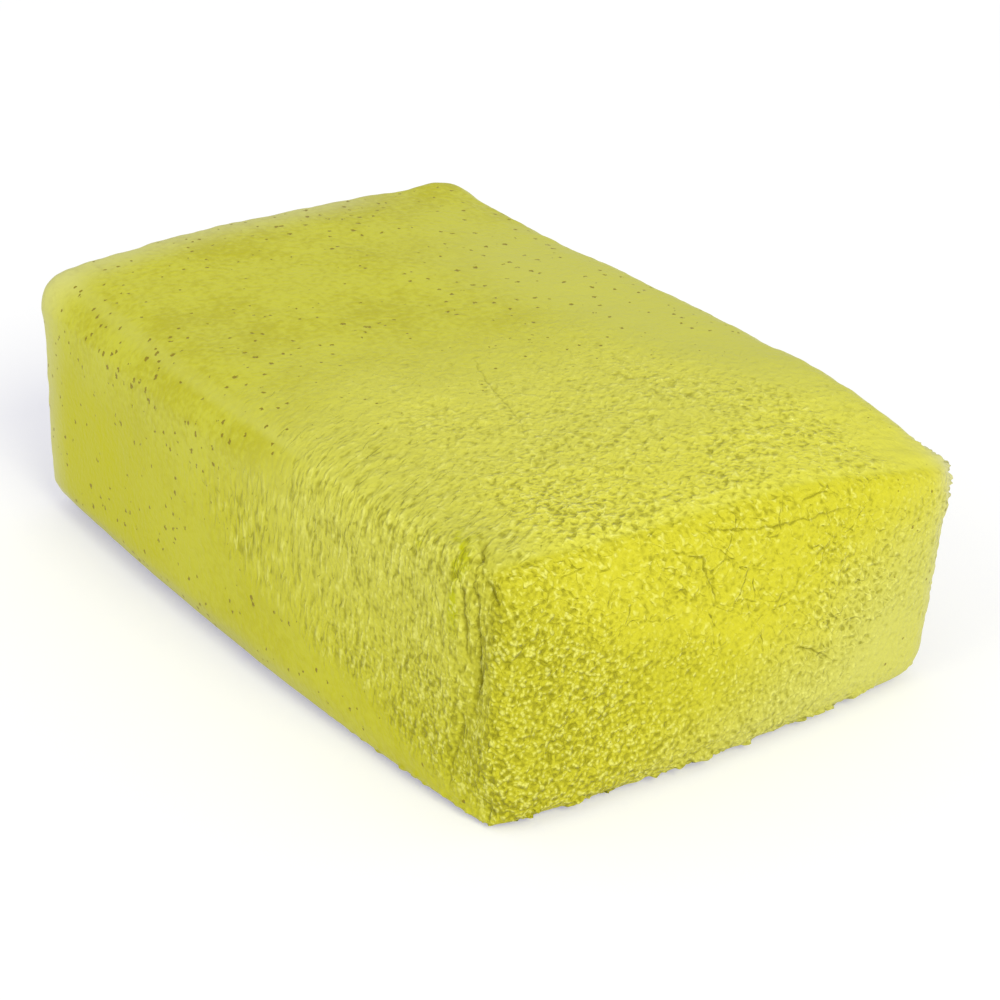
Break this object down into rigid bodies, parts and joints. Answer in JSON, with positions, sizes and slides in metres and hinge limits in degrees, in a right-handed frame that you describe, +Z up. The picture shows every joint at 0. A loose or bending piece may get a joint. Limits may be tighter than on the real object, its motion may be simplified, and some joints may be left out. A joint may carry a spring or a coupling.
{
  "type": "clay bar",
  "caption": "Rounded slab of pliable detailing clay, kneaded and torn at one end, rubbed by hand over wet paint to lift bonded dirt.",
  "frame": {"origin": "middle of the bounding box at the base, which is the surface it rests on", "axes": "+X along the slab towards its kneaded end, +Y across the slab, +Z up"},
  "size_m": [0.078, 0.05, 0.025],
  "materials": {
    "clay": "waxy yellow-green polymer clay, smooth skin at one end, torn and crumbly at the other"
  },
  "bodies": {
    "root": {"clay_bar": "clay"}
  },
  "joints": []
}
